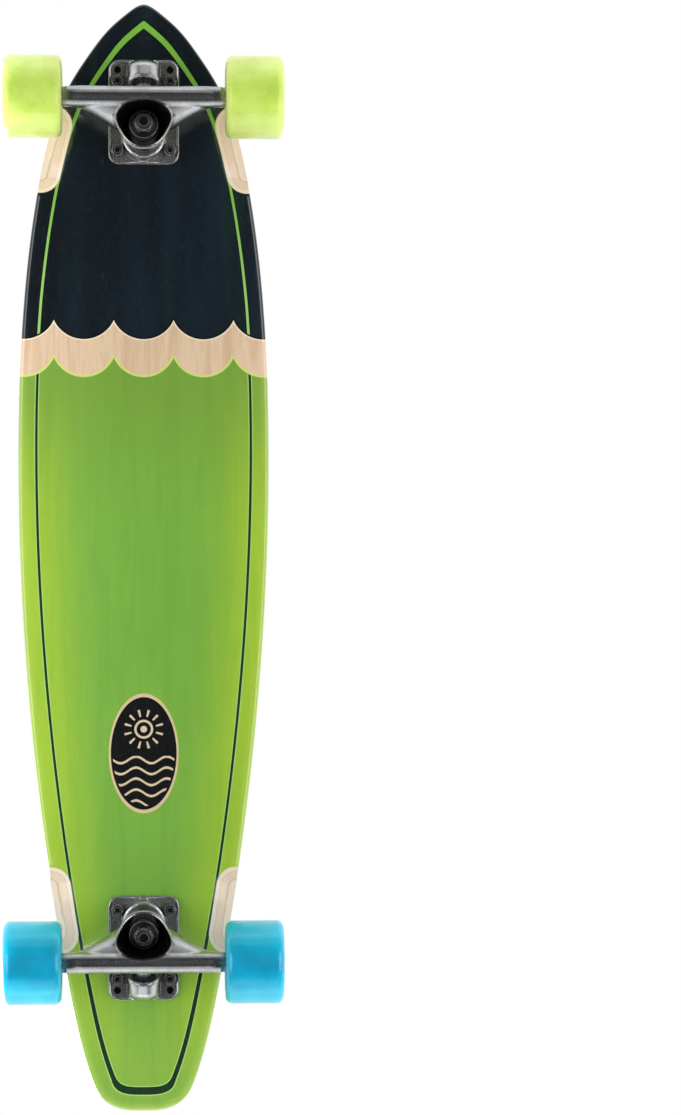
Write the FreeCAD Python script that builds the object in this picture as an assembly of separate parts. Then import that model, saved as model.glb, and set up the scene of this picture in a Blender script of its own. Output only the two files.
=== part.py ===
import FreeCAD, Part
import math
import os

from FreeCAD import Vector

# A pintail longboard: a maple deck with grip tape, two cast trucks with traditional kingpins, and
# four urethane wheels on ball bearings. Millimetres. +X points to the nose, +Y to the left, +Z up,
# and the origin is on the ground below the middle of the deck.

# How far a cutting solid runs past the face that it opens
overcut = 1.0

# Deck
deck_length = 870.0
deck_width = 197.0
deck_thickness = 10.5
deck_camber = 6.0
flat_reach = 60.0
rail_radius = 3.0
nose_to_front_bolts = 89.0
truck_spacing = 649.0
well_depth = 3.4
well_reach = 16.0
well_length = 70.0

# The outline of one side, from the nose to the tail: share of the length, share of half the width
outline_template = [
    (0.0, 0.0),
    (0.0026, 0.066),
    (0.0085, 0.137),
    (0.021, 0.264),
    (0.045, 0.433),
    (0.070, 0.576),
    (0.160, 0.830),
    (0.275, 0.958),
    (0.400, 1.0),
    (0.540, 0.970),
    (0.685, 0.865),
    (0.805, 0.725),
    (0.905, 0.568),
    (0.970, 0.416),
    (0.9885, 0.330),
    (0.9967, 0.225),
    (1.0, 0.0),
]

# Grip tape
grip_thickness = 0.9
grip_inset = 3.2
grip_hole_clearance = 0.6

# Mounting hardware
bolt_spacing_long = 54.0
bolt_spacing_wide = 41.3
bolt_diameter = 4.8
bolt_clearance = 0.3
bolt_head_diameter = 9.4
bolt_head_height = 2.7
bolt_thread_past_nut = 1.6
cross_slot_length = 5.64
cross_slot_width = 1.1
cross_slot_depth = 1.6
lock_nut_width = 9.5
lock_nut_height = 5.9
lock_nut_collar = 1.8
nut_chamfer = 0.6
nut_collar_chamfer = 0.5

# Baseplate
plate_inboard = 37.5
plate_outboard = 44.0
plate_width = 55.0
plate_thickness = 6.0
plate_corner = 8.0
plate_rim = 1.2
plate_pocket = 0.8
spare_hole_pitch = 9.5
boss_radius = 17.0
boss_rib_radius = 13.0
boss_rib_drop = 1.0
centre_rib_width = 12.0
centre_rib_height = 9.0

# Kingpin and what it clamps, measured along the kingpin from the deck's face
kingpin_foot = 19.2
kingpin_lean = 10.0
kingpin_diameter = 9.5
kingpin_fit = 0.05
kingpin_head_width = 14.3
kingpin_head_height = 5.5
kingpin_head_depth = 1.7
kingpin_past_nut = 1.0
kingpin_chamfer = 1.0
kingpin_seat = 14.0
washer_diameter = 23.0
seat_washer_diameter = 25.0
washer_thickness = 1.5
cup_washer_thickness = 2.0
cup_washer_flange = 1.0
seat_bushing_diameter = 22.6
seat_bushing_height = 16.0
road_bushing_diameter = 21.0
road_bushing_tip_diameter = 18.6
road_bushing_height = 10.5
bushing_bore_clearance = 0.15
seat_bushing_chamfer = 1.0
road_bushing_chamfer = 0.8
kingpin_nut_width = 14.3
kingpin_nut_height = 6.0
kingpin_nut_collar = 1.6

# Pivot
pivot_seat_x = 32.0
pivot_seat_drop = 8.9
pivot_cup_depth = 9.0
pivot_cup_radius = 8.8
pivot_cup_floor = 2.0
pivot_pin_radius = 6.0
pivot_pin_fit = 0.05
pivot_boss_wall = 4.2
pivot_dome_radius = 19.3
pivot_dome_overhang = 1.0
pivot_cup_approach = 10.0

# Hanger
axle_drop = 53.0
axle_offset = 9.5
tube_radius = 8.5
tube_end_radius = 7.2
tube_straight = 48.0
ring_thickness = 9.0
ring_radius = 15.5
ring_bore_clearance = 2.75
bushing_seat_depth = 2.0
bushing_seat_clearance = 0.2
bushing_side_clearance = 1.0
web_half_span = 60.0
web_shoulder_y = 34.0
web_shoulder_share = 0.385
web_half_length = 22.0
web_half_height = 9.5
web_shift = 1.0
bowl_floor_radius = 12.5
bowl_wall = 1.8
bowl_rim_behind_axle = 3.5
bowl_rim_below_axle = 6.5
bowl_rim_inboard = (-27.5, -41.0)
arm_start = 16.0
arm_start_radius = 9.0
arm_to_cup_gap = 1.0

# The opening of the hanger's bowl: distance inboard as a share of its length, and half its width
bowl_opening = [(0.0, 0.0), (0.06, 12.0), (0.30, 20.9), (0.66, 17.4), (0.93, 10.0), (1.0, 0.0)]

# Axles and wheels
axle_diameter = 8.0
axle_fit = 0.02
axle_past_nut = 1.5
axle_chamfer = 0.8
axle_nut_width = 12.7
axle_nut_height = 6.5
axle_nut_collar = 2.0
speed_ring_thickness = 1.0
speed_ring_step = 0.032
wheel_spacing = 171.0
wheel_diameter = 64.0
wheel_width = 45.0
wheel_lip_radius = 5.5
wheel_lip_width = 4.0
wheel_dish_radius = 20.0
core_diameter = 34.0
core_rim = 1.0
core_step_height = 1.8

# Ball bearings
bearing_diameter = 22.0
bearing_width = 7.0
spacer_length = 10.0
spacer_wall = 1.4
balls_per_bearing = 7
ball_share = 0.2834
race_shoulder_share = 0.74
groove_clearance = 0.05
cage_wall = 0.75
cage_side_bar = 0.596
cage_pocket_clearance = 0.12
shield_thickness = 0.35
shield_inset = 0.1
shield_gap = 0.3

# Sizes that follow from those above
wheel_radius = wheel_diameter / 2
deck_bottom = wheel_radius + axle_drop
front_bolts_x = deck_length / 2 - nose_to_front_bolts
rear_bolts_x = front_bolts_x - truck_spacing
axle_radius = axle_diameter / 2
bearing_radius = bearing_diameter / 2
ball_pitch_radius = (axle_radius + bearing_radius) / 2
ball_radius = ball_share * (bearing_radius - axle_radius)
inner_race_radius = ball_pitch_radius - race_shoulder_share * ball_radius
outer_race_radius = ball_pitch_radius + race_shoulder_share * ball_radius
wheel_y = wheel_spacing / 2
bearing_y = spacer_length / 2 + bearing_width / 2
bearing_stack = spacer_length / 2 + bearing_width
speed_ring_radius = inner_race_radius - speed_ring_step
cage_half_width = ball_radius + cage_pocket_clearance + cage_side_bar
core_step_radius = bearing_radius - core_step_height
ring_bore_radius = kingpin_diameter / 2 + ring_bore_clearance
shoulder_y = wheel_y - bearing_stack - speed_ring_thickness
axle_nut_y = wheel_y + bearing_stack + speed_ring_thickness
axle_end_y = axle_nut_y + axle_nut_height + axle_past_nut
seat_washer_end = kingpin_seat + washer_thickness
ring_start = seat_washer_end + seat_bushing_height - bushing_seat_depth
ring_end = ring_start + ring_thickness
road_washer_start = ring_end - bushing_seat_depth + road_bushing_height
kingpin_nut_start = road_washer_start + cup_washer_thickness
kingpin_end = kingpin_nut_start + kingpin_nut_height + kingpin_past_nut

# A truck is modelled in its own frame: x outboard from the middle of its bolts, z up from the plate's
# top face. The kingpin's axis and the steering axis both lie in its plane of symmetry.
lean = math.radians(kingpin_lean)
kingpin_direction = Vector(math.sin(lean), 0, -math.cos(lean))
kingpin_origin = Vector(-kingpin_foot, 0, 0)
ring_centre = kingpin_origin + kingpin_direction * ((ring_start + ring_end) / 2)
pivot_seat = Vector(pivot_seat_x, 0, -pivot_seat_drop)
steering_direction = (pivot_seat - ring_centre).normalize()
pivot_reach = (pivot_seat - ring_centre).Length
axle_centre = Vector(axle_offset, 0, -axle_drop)
bowl_rim_outboard = (axle_offset - bowl_rim_behind_axle, -axle_drop - bowl_rim_below_axle)


def cylinder(radius, origin, direction, start, end):
    """A cylinder about an axis, between two distances along it."""
    return Part.makeCylinder(radius, end - start, origin + direction * start, direction)


def turned(profile, origin, direction):
    """A solid turned about an axis, from points of (radius, distance along the axis)."""
    points = [Vector(radius, 0, along) for radius, along in profile]
    face = Part.Face(Part.makePolygon(points + points[:1]))
    solid = face.revolve(Vector(0, 0, 0), Vector(0, 0, 1), 360)
    solid.Placement = FreeCAD.Placement(origin, FreeCAD.Rotation(Vector(0, 0, 1), direction))
    return solid


def hexagon(width, origin, direction, start, end):
    """A hexagonal prism about an axis, from its width across flats."""
    corner = width / 2 / math.cos(math.pi / 6)
    angles = [math.radians(60 * i + 30) for i in range(7)]
    points = [Vector(corner * math.cos(a), corner * math.sin(a), start) for a in angles]
    prism = Part.Face(Part.makePolygon(points)).extrude(Vector(0, 0, end - start))
    prism.Placement = FreeCAD.Placement(origin, FreeCAD.Rotation(Vector(0, 0, 1), direction))
    return prism


def lock_nut(width, height, collar, bore_radius, origin, direction, start):
    """A hexagon nut with a round nylon collar on its far end and chamfered corners."""
    corner = width / 2 / math.cos(math.pi / 6)
    collar_radius = width / 2 - nut_chamfer
    hexagon_end = start + height - collar
    overlap = collar / 4
    body = hexagon(width, origin, direction, start, hexagon_end)
    envelope = turned(
        [
            (0, start),
            (width / 2, start),
            (corner, start + nut_chamfer),
            (corner, hexagon_end - nut_chamfer),
            (width / 2, hexagon_end),
            (0, hexagon_end),
        ],
        origin,
        direction,
    )
    cap = turned(
        [
            (0, hexagon_end - overlap),
            (collar_radius, hexagon_end - overlap),
            (collar_radius, start + height - nut_collar_chamfer),
            (collar_radius - nut_collar_chamfer, start + height),
            (0, start + height),
        ],
        origin,
        direction,
    )
    bore = cylinder(bore_radius, origin, direction, start - overcut, start + height + overcut)
    return body.common(envelope).fuse(cap).cut(bore).removeSplitter()


def outline_curve(length, width):
    """The deck's outline in plan: from its widest place on the left, round the tail and the nose."""
    left = [Vector(length * (0.5 - s), width / 2 * w, 0) for s, w in outline_template]
    right = [Vector(p.x, -p.y, 0) for p in reversed(left[1:-1])]
    widest = max(range(len(left)), key=lambda i: left[i].y)
    points = left[widest:] + right + left[:widest]
    curve = Part.BSplineCurve()
    curve.interpolate(Points=points, PeriodicFlag=True)
    return curve, points


def plan_prism(length, width):
    """A tall prism of the deck's outline, with one side face between each two template points."""
    curve, points = outline_curve(length, width)
    breaks = [curve.parameter(point) for point in points[1:]]
    starts = [curve.FirstParameter] + breaks
    ends = breaks + [curve.LastParameter]
    edges = [curve.toShape(start, end) for start, end in zip(starts, ends)]
    return Part.Face(Part.Wire(edges)).extrude(Vector(0, 0, 2 * deck_bottom))


def camber_edges(height):
    """The deck's side profile at one height: flat under the trucks, arched between them."""
    rear = rear_bolts_x + flat_reach
    front = front_bolts_x - flat_reach
    quarter = (front - rear) / 4
    rise = deck_camber / 2
    radius = (quarter * quarter + rise * rise) / deck_camber
    half_turn = math.asin(quarter / radius) / 2
    near = radius * math.sin(half_turn)
    lift = radius * (1 - math.cos(half_turn))
    tail = Vector(-deck_length, 0, height)
    nose = Vector(deck_length, 0, height)
    flat_ends = [Vector(rear, 0, height), Vector(front, 0, height)]
    turns = [Vector(rear + near, 0, height + lift), Vector(front - near, 0, height + lift)]
    joins = [
        Vector(rear + quarter, 0, height + rise),
        Vector(front - quarter, 0, height + rise),
    ]
    top = Vector((rear + front) / 2, 0, height + deck_camber)
    return [
        Part.LineSegment(tail, flat_ends[0]).toShape(),
        Part.Arc(flat_ends[0], turns[0], joins[0]).toShape(),
        Part.Arc(joins[0], top, joins[1]).toShape(),
        Part.Arc(joins[1], turns[1], flat_ends[1]).toShape(),
        Part.LineSegment(flat_ends[1], nose).toShape(),
    ]


def cambered_slab(bottom, thickness):
    """A slab as wide as any deck, with the deck's camber on both its faces."""
    lower = camber_edges(bottom)
    upper = camber_edges(bottom + thickness)
    ends = [
        Part.LineSegment(Vector(x, 0, bottom), Vector(x, 0, bottom + thickness)).toShape()
        for x in (-deck_length, deck_length)
    ]
    face = Part.Face(Part.Wire(Part.__sortEdges__(lower + upper + ends)))
    slab = face.extrude(Vector(0, 2 * deck_width, 0))
    slab.translate(Vector(0, -deck_width, 0))
    return slab


def half_width_at(x):
    """Half the deck's width at one place along it, found by halving the right side of its outline."""
    curve, _ = outline_curve(deck_length, deck_width)
    low = curve.parameter(Vector(-deck_length / 2, 0, 0))
    high = curve.parameter(Vector(deck_length / 2, 0, 0))
    for _ in range(40):
        middle = (low + high) / 2
        if curve.value(middle).x < x:
            low = middle
        else:
            high = middle
    return -curve.value(low).y


def wheel_well(bolts_x, outboard, side):
    """A sanded scoop in the deck's lower edge that clears a wheel when the board leans."""
    radius = (well_reach * well_reach + well_depth * well_depth) / (2 * well_depth)
    diagonal = radius * math.cos(math.pi / 4)
    axle_x = bolts_x + outboard * axle_offset
    centres = []
    for inset in (well_reach, well_length - well_reach):
        x = axle_x - outboard * inset
        centres.append(Vector(x, side * half_width_at(x), deck_bottom + well_depth - radius))
    run = centres[1] - centres[0]
    length = run.Length
    start = Vector(0, 0, -radius)
    shoulders = [Vector(radius, 0, 0), Vector(radius, 0, length)]
    end = Vector(0, 0, length + radius)
    outline = [
        Part.Arc(start, Vector(diagonal, 0, -diagonal), shoulders[0]),
        Part.LineSegment(shoulders[0], shoulders[1]),
        Part.Arc(shoulders[1], Vector(diagonal, 0, length + diagonal), end),
        Part.LineSegment(end, start),
    ]
    face = Part.Face(Part.Wire([edge.toShape() for edge in outline]))
    scoop = face.revolve(Vector(0, 0, 0), Vector(0, 0, 1), 360)
    scoop.Placement = FreeCAD.Placement(centres[0], FreeCAD.Rotation(Vector(0, 0, 1), run))
    return scoop


def bolt_places(bolts_x):
    """The four mounting bolts of one truck."""
    return [
        Vector(bolts_x + i * bolt_spacing_long / 2, j * bolt_spacing_wide / 2, 0)
        for i in (-1, 1)
        for j in (-1, 1)
    ]


def countersunk(radius, head_radius, bottom, top):
    """A round shank below a countersunk head whose face is at the top."""
    return turned(
        [
            (0, bottom),
            (radius, bottom),
            (radius, top - bolt_head_height),
            (head_radius, top),
            (0, top),
        ],
        Vector(0, 0, 0),
        Vector(0, 0, 1),
    )


def is_rail(edge):
    """True for an edge that runs along the outline, and false for an upright or one across the deck."""
    start = edge.valueAt(edge.FirstParameter)
    end = edge.valueAt(edge.LastParameter)
    upright = abs(start.z - end.z) > deck_thickness / 2
    across = abs(start.x - end.x) < 0.01
    return not upright and not across


def deck():
    """The pressed maple deck, with rounded rails, bolt holes and four wheel wells."""
    slab = cambered_slab(deck_bottom, deck_thickness)
    blank = plan_prism(deck_length, deck_width).common(slab).Solids[0]
    rails = [edge for edge in blank.Edges if is_rail(edge)]
    solid = blank.makeFillet(rail_radius, rails)
    hole_radius = bolt_diameter / 2 + bolt_clearance
    head_radius = bolt_head_diameter / 2 + bolt_clearance
    top = deck_bottom + deck_thickness
    for bolts_x, outboard in ((front_bolts_x, 1), (rear_bolts_x, -1)):
        for place in bolt_places(bolts_x):
            hole = countersunk(hole_radius, head_radius, deck_bottom - overcut, top)
            hole.translate(place)
            solid = solid.cut(hole)
        for side in (-1, 1):
            solid = solid.cut(wheel_well(bolts_x, outboard, side))
    return solid


def grip_tape():
    """The sheet of grit-coated tape on the deck, trimmed inside its edge and cut over the bolts."""
    outline = plan_prism(deck_length - 2 * grip_inset, deck_width - 2 * grip_inset)
    sheet = outline.common(cambered_slab(deck_bottom + deck_thickness, grip_thickness))
    radius = bolt_head_diameter / 2 + grip_hole_clearance
    for bolts_x in (front_bolts_x, rear_bolts_x):
        for place in bolt_places(bolts_x):
            sheet = sheet.cut(cylinder(radius, place, Vector(0, 0, 1), 0, 2 * deck_bottom))
    return sheet


def mounting_bolts():
    """Four countersunk machine screws with cross slots, from the deck's top down past their nuts."""
    head_top = deck_thickness
    end = -plate_thickness + plate_pocket - lock_nut_height - bolt_thread_past_nut
    slot_sides = [(cross_slot_length, cross_slot_width), (cross_slot_width, cross_slot_length)]
    bolts = []
    for place in bolt_places(0):
        bolt = countersunk(bolt_diameter / 2, bolt_head_diameter / 2, end, head_top)
        for length, width in slot_sides:
            corner = Vector(-length / 2, -width / 2, head_top - cross_slot_depth)
            bolt = bolt.cut(Part.makeBox(length, width, 2 * cross_slot_depth, corner))
        bolt.translate(place)
        bolts.append(bolt)
    return Part.makeCompound(bolts)


def mounting_lock_nuts():
    """Four lock nuts on the mounting bolts, in the baseplate's shallow pocket."""
    nuts = []
    for place in bolt_places(0):
        seat = plate_thickness - plate_pocket
        nuts.append(
            lock_nut(
                lock_nut_width,
                lock_nut_height,
                lock_nut_collar,
                bolt_diameter / 2,
                place,
                Vector(0, 0, -1),
                seat,
            )
        )
    return Part.makeCompound(nuts)


def rounded_plate(inset, bottom, top):
    """A slab of the baseplate's outline, drawn in by an inset, between two heights."""
    length = plate_inboard + plate_outboard - 2 * inset
    corner = Vector(-plate_inboard + inset, -plate_width / 2 + inset, bottom)
    box = Part.makeBox(length, plate_width - 2 * inset, top - bottom, corner)
    uprights = [e for e in box.Edges if abs(e.tangentAt(e.FirstParameter).z) > 0.5]
    return box.makeFillet(plate_corner - inset, uprights)


def baseplate():
    """The cast baseplate: a pocketed plate with a kingpin boss inboard and a pivot boss outboard."""
    depth = plate_thickness - plate_pocket
    plate = rounded_plate(0, -plate_thickness, 0)
    plate = plate.cut(rounded_plate(plate_rim, -2 * plate_thickness, -depth))

    boss = cylinder(boss_radius, kingpin_origin, kingpin_direction, -boss_radius, kingpin_seat)
    rib_centre = Vector(-plate_inboard + plate_rim + boss_rib_radius, 0, -boss_rib_drop)
    boss_rib = Part.makeSphere(boss_rib_radius, rib_centre)

    pivot_mouth = pivot_reach - pivot_cup_depth
    pivot_boss = cylinder(
        pivot_cup_radius + pivot_boss_wall, ring_centre, steering_direction, pivot_mouth, 2 * pivot_reach
    )
    dome_x = plate_outboard - pivot_dome_radius + pivot_dome_overhang
    dome_centre = Vector(dome_x, 0, -plate_thickness)
    pivot_boss = pivot_boss.common(Part.makeSphere(pivot_dome_radius, dome_centre))

    rib_length = pivot_seat_x + kingpin_foot
    rib_corner = Vector(-kingpin_foot, -centre_rib_width / 2, -centre_rib_height)
    centre_rib = Part.makeBox(rib_length, centre_rib_width, centre_rib_height, rib_corner)

    solid = plate.fuse([boss, boss_rib, pivot_boss, centre_rib])
    solid = solid.common(rounded_plate(0, -2 * axle_drop, 0))

    head_end = kingpin_head_depth + kingpin_head_height
    socket = hexagon(
        kingpin_head_width, kingpin_origin, kingpin_direction, -boss_radius, head_end
    )
    solid = solid.cut(socket)
    shank_hole = kingpin_diameter / 2 + kingpin_fit
    solid = solid.cut(cylinder(shank_hole, kingpin_origin, kingpin_direction, 0, kingpin_end))
    cup_start = pivot_mouth - pivot_cup_approach
    solid = solid.cut(
        cylinder(pivot_cup_radius, ring_centre, steering_direction, cup_start, pivot_reach)
    )
    hole_radius = bolt_diameter / 2 + bolt_clearance
    holes = bolt_places(0)
    for j in (-1, 1):
        x = bolt_spacing_long / 2 + spare_hole_pitch
        holes.append(Vector(x, j * bolt_spacing_wide / 2, 0))
    for place in holes:
        solid = solid.cut(cylinder(hole_radius, place, Vector(0, 0, -1), -overcut, axle_drop))
    return solid.removeSplitter()


def kingpin():
    """The kingpin bolt, with its hexagon head held in the baseplate."""
    head_end = kingpin_head_depth + kingpin_head_height
    head = hexagon(
        kingpin_head_width, kingpin_origin, kingpin_direction, kingpin_head_depth, head_end
    )
    radius = kingpin_diameter / 2
    shank = turned(
        [
            (0, kingpin_head_depth),
            (radius, kingpin_head_depth),
            (radius, kingpin_end - kingpin_chamfer),
            (radius - kingpin_chamfer, kingpin_end),
            (0, kingpin_end),
        ],
        kingpin_origin,
        kingpin_direction,
    )
    return head.fuse(shank).removeSplitter()


def ring_on_kingpin(profile):
    """A turned ring on the kingpin, from points of (radius, distance along it)."""
    return turned(profile, kingpin_origin, kingpin_direction)


def seat_washer():
    """The flat washer between the baseplate's boss and the first bushing."""
    bore = kingpin_diameter / 2 + kingpin_fit
    rim = seat_washer_diameter / 2
    return ring_on_kingpin(
        [(bore, kingpin_seat), (rim, kingpin_seat), (rim, seat_washer_end), (bore, seat_washer_end)]
    )


def seat_bushing():
    """The barrel bushing between the baseplate and the hanger's ring."""
    bore = kingpin_diameter / 2 + bushing_bore_clearance
    rim = seat_bushing_diameter / 2
    end = ring_start + bushing_seat_depth
    return ring_on_kingpin(
        [
            (bore, seat_washer_end),
            (rim - seat_bushing_chamfer, seat_washer_end),
            (rim, seat_washer_end + seat_bushing_chamfer),
            (rim, end - seat_bushing_chamfer),
            (rim - seat_bushing_chamfer, end),
            (bore, end),
        ]
    )


def road_bushing():
    """The cone bushing in the hanger's bowl."""
    bore = kingpin_diameter / 2 + bushing_bore_clearance
    rim = road_bushing_diameter / 2
    tip = road_bushing_tip_diameter / 2
    start = ring_end - bushing_seat_depth
    return ring_on_kingpin(
        [
            (bore, start),
            (rim - road_bushing_chamfer, start),
            (rim, start + road_bushing_chamfer),
            (rim, start + bushing_seat_depth),
            (tip, road_washer_start),
            (bore, road_washer_start),
        ]
    )


def cup_washer():
    """The cupped washer under the kingpin nut, its rim turned down round the bushing."""
    bore = kingpin_diameter / 2 + kingpin_fit
    rim = washer_diameter / 2
    lip = (rim - road_bushing_tip_diameter / 2) / 2
    return ring_on_kingpin(
        [
            (bore, road_washer_start),
            (rim - lip, road_washer_start),
            (rim - lip / 2, road_washer_start - cup_washer_flange),
            (rim, road_washer_start - cup_washer_flange),
            (rim - lip / 2, road_washer_start + cup_washer_flange),
            (kingpin_nut_width / 2, kingpin_nut_start),
            (bore, kingpin_nut_start),
        ]
    )


def kingpin_nut():
    """The lock nut that squeezes the bushings."""
    return lock_nut(
        kingpin_nut_width,
        kingpin_nut_height,
        kingpin_nut_collar,
        kingpin_diameter / 2,
        kingpin_origin,
        kingpin_direction,
        kingpin_nut_start,
    )


def pivot_pin(clearance):
    """The hanger's round-nosed pivot pin, or the hollow it runs in when given a clearance."""
    radius = pivot_pin_radius + clearance
    nose = pivot_reach - pivot_cup_floor - pivot_pin_radius
    pin = cylinder(radius, ring_centre, steering_direction, pivot_reach / 2, nose)
    return pin.fuse(Part.makeSphere(radius, ring_centre + steering_direction * nose))


def pivot_cup():
    """The urethane cup that the pivot pin turns in."""
    mouth = pivot_reach - pivot_cup_depth
    cup = cylinder(pivot_cup_radius, ring_centre, steering_direction, mouth, pivot_reach)
    return cup.cut(pivot_pin(pivot_pin_fit))


def web_section(y, half_length, half_height, centre):
    """An elliptical section of the hanger's web, tilted from the axle to the ring."""
    towards_ring = (ring_centre - axle_centre).normalize()
    across = Vector(0, 1, 0).cross(towards_ring)
    middle = centre + Vector(0, y, 0)
    ellipse = Part.Ellipse(middle + towards_ring * half_length, middle + across * half_height, middle)
    return Part.Wire(ellipse.toShape())


def bowl_wire(growth):
    """The bowl's sloping egg-shaped rim, moved outward by a growth."""
    outboard_x, outboard_z = bowl_rim_outboard
    inboard_x, inboard_z = bowl_rim_inboard
    run = outboard_x - inboard_x
    slope = (inboard_z - outboard_z) / run
    middle = (outboard_x + inboard_x) / 2
    wide = bowl_opening[2][1]
    points = []
    for share, half in bowl_opening:
        x = middle + (outboard_x - run * share - middle) * (1 + 2 * growth / run)
        z = outboard_z + (outboard_x - x) * slope
        points.append(Vector(x, half * (1 + growth / wide), z))
    points += [Vector(p.x, -p.y, p.z) for p in reversed(points[1:-1])]
    curve = Part.BSplineCurve()
    curve.interpolate(Points=points, PeriodicFlag=True)
    return Part.Wire(curve.toShape())


def ring_wire(radius, along):
    """A circle about the kingpin, started on the outboard side as the bowl's rim is."""
    centre = kingpin_origin + kingpin_direction * along
    outboard = Vector(-kingpin_direction.z, 0, kingpin_direction.x)
    circle = Part.Circle(centre, kingpin_direction * -1, radius)
    circle.XAxis = outboard
    return Part.Wire(circle.toShape())


def axle_tube():
    """The hanger's tube round the axle, tapered to the shoulders that the bearings meet."""
    return turned(
        [
            (0, -shoulder_y),
            (tube_end_radius, -shoulder_y),
            (tube_radius, -tube_straight),
            (tube_radius, tube_straight),
            (tube_end_radius, shoulder_y),
            (0, shoulder_y),
        ],
        axle_centre,
        Vector(0, 1, 0),
    )


def hanger():
    """The cast hanger: axle tube, web, bowl with its bushing ring, and pivot pin."""
    web_centre = (axle_centre + ring_centre) * 0.5
    web_middle = web_centre + Vector(-web_shift, 0, 0)
    shoulder_length = tube_radius + (web_half_length - tube_radius) * web_shoulder_share
    shoulder_height = tube_end_radius + (web_half_height - tube_end_radius) * web_shoulder_share
    shoulder_centre = axle_centre + (web_middle - axle_centre) * web_shoulder_share
    web = Part.makeLoft(
        [
            web_section(-web_half_span, tube_radius, tube_end_radius, axle_centre),
            web_section(-web_shoulder_y, shoulder_length, shoulder_height, shoulder_centre),
            web_section(0, web_half_length, web_half_height, web_middle),
            web_section(web_shoulder_y, shoulder_length, shoulder_height, shoulder_centre),
            web_section(web_half_span, tube_radius, tube_end_radius, axle_centre),
        ],
        True,
        False,
    )
    bowl = Part.makeLoft([ring_wire(ring_radius, ring_start), bowl_wire(bowl_wall)], True, False)
    arm = Part.makeCone(
        arm_start_radius,
        pivot_pin_radius,
        pivot_reach - pivot_cup_depth - arm_to_cup_gap - arm_start,
        ring_centre + steering_direction * arm_start,
        steering_direction,
    )
    solid = axle_tube().fuse([web, bowl, arm, pivot_pin(0)])

    hollow = Part.makeLoft([ring_wire(bowl_floor_radius, ring_end), bowl_wire(0)], True, False)
    seat_radius = seat_bushing_diameter / 2 + bushing_seat_clearance
    road_seat_radius = road_bushing_diameter / 2 + bushing_seat_clearance
    swing_radius = seat_bushing_diameter / 2 + bushing_side_clearance
    cuts = [
        hollow,
        bowl_mouth(),
        cylinder(ring_bore_radius, kingpin_origin, kingpin_direction, 0, 2 * kingpin_end),
        cylinder(
            seat_radius, kingpin_origin, kingpin_direction, 0, ring_start + bushing_seat_depth
        ),
        cylinder(
            road_seat_radius, kingpin_origin, kingpin_direction, ring_end - bushing_seat_depth, ring_end
        ),
        cylinder(swing_radius, kingpin_origin, kingpin_direction, 0, ring_start),
        cylinder(
            axle_radius + axle_fit, axle_centre, Vector(0, 1, 0), -2 * shoulder_y, 2 * shoulder_y
        ),
    ]
    return solid.cut(cuts).removeSplitter()


def bowl_mouth():
    """The space above the bowl's sloping rim, which the web must leave open."""
    rim = Part.Face(bowl_wire(0))
    return rim.extrude(Vector(0, 0, -axle_drop))


def axle():
    """The axle, with chamfered threaded ends."""
    return turned(
        [
            (0, -axle_end_y),
            (axle_radius - axle_chamfer, -axle_end_y),
            (axle_radius, -axle_end_y + axle_chamfer),
            (axle_radius, axle_end_y - axle_chamfer),
            (axle_radius - axle_chamfer, axle_end_y),
            (0, axle_end_y),
        ],
        axle_centre,
        Vector(0, 1, 0),
    )


def bearing_centres():
    """The lateral places of a truck's four bearings."""
    return [side * wheel_y + end * bearing_y for side in (-1, 1) for end in (-1, 1)]


def on_axle(profile, y):
    """A turned piece about the axle, from points of (radius, distance from y)."""
    return turned(profile, axle_centre + Vector(0, y, 0), Vector(0, 1, 0))


def tube_profile(inner, outer, half_length):
    """The section of a plain tube."""
    return [
        (inner, -half_length),
        (outer, -half_length),
        (outer, half_length),
        (inner, half_length),
    ]


def ball_groove(y):
    """The torus that the balls of one bearing run in."""
    radius = ball_radius + groove_clearance
    return Part.makeTorus(ball_pitch_radius, radius, axle_centre + Vector(0, y, 0), Vector(0, 1, 0))


def inner_races():
    """The four inner races, clamped on the axle."""
    profile = tube_profile(axle_radius, inner_race_radius, bearing_width / 2)
    return Part.makeCompound([on_axle(profile, y).cut(ball_groove(y)) for y in bearing_centres()])


def spacers():
    """The sleeve between the two inner races of each wheel."""
    profile = tube_profile(axle_radius, axle_radius + spacer_wall, spacer_length / 2)
    return Part.makeCompound([on_axle(profile, side * wheel_y) for side in (-1, 1)])


def speed_rings():
    """The thin washers either side of each pair of bearings."""
    half = speed_ring_thickness / 2
    profile = tube_profile(axle_radius, speed_ring_radius, half)
    places = [side * y for side in (-1, 1) for y in (shoulder_y + half, axle_nut_y - half)]
    return Part.makeCompound([on_axle(profile, y) for y in places])


def axle_nuts():
    """The lock nuts on both ends of the axle."""
    nuts = []
    for side in (-1, 1):
        nuts.append(
            lock_nut(
                axle_nut_width,
                axle_nut_height,
                axle_nut_collar,
                axle_radius,
                axle_centre,
                Vector(0, side, 0),
                axle_nut_y,
            )
        )
    return Part.makeCompound(nuts)


def wheel_bearings(side):
    """The lateral places of one wheel's two bearings."""
    return [side * wheel_y - bearing_y, side * wheel_y + bearing_y]


def outer_races(side):
    """The two outer races pressed into one wheel's core."""
    profile = tube_profile(outer_race_radius, bearing_radius, bearing_width / 2)
    return Part.makeCompound(
        [on_axle(profile, y).cut(ball_groove(y)) for y in wheel_bearings(side)]
    )


def ball_places(y):
    """The centres of the balls of one bearing."""
    places = []
    for i in range(balls_per_bearing):
        angle = 2 * math.pi * i / balls_per_bearing
        offset = Vector(math.cos(angle), 0, math.sin(angle)) * ball_pitch_radius
        places.append(axle_centre + Vector(0, y, 0) + offset)
    return places


def balls(side):
    """The steel balls of one wheel's two bearings."""
    spheres = []
    for y in wheel_bearings(side):
        spheres += [Part.makeSphere(ball_radius, place) for place in ball_places(y)]
    return Part.makeCompound(spheres)


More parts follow.
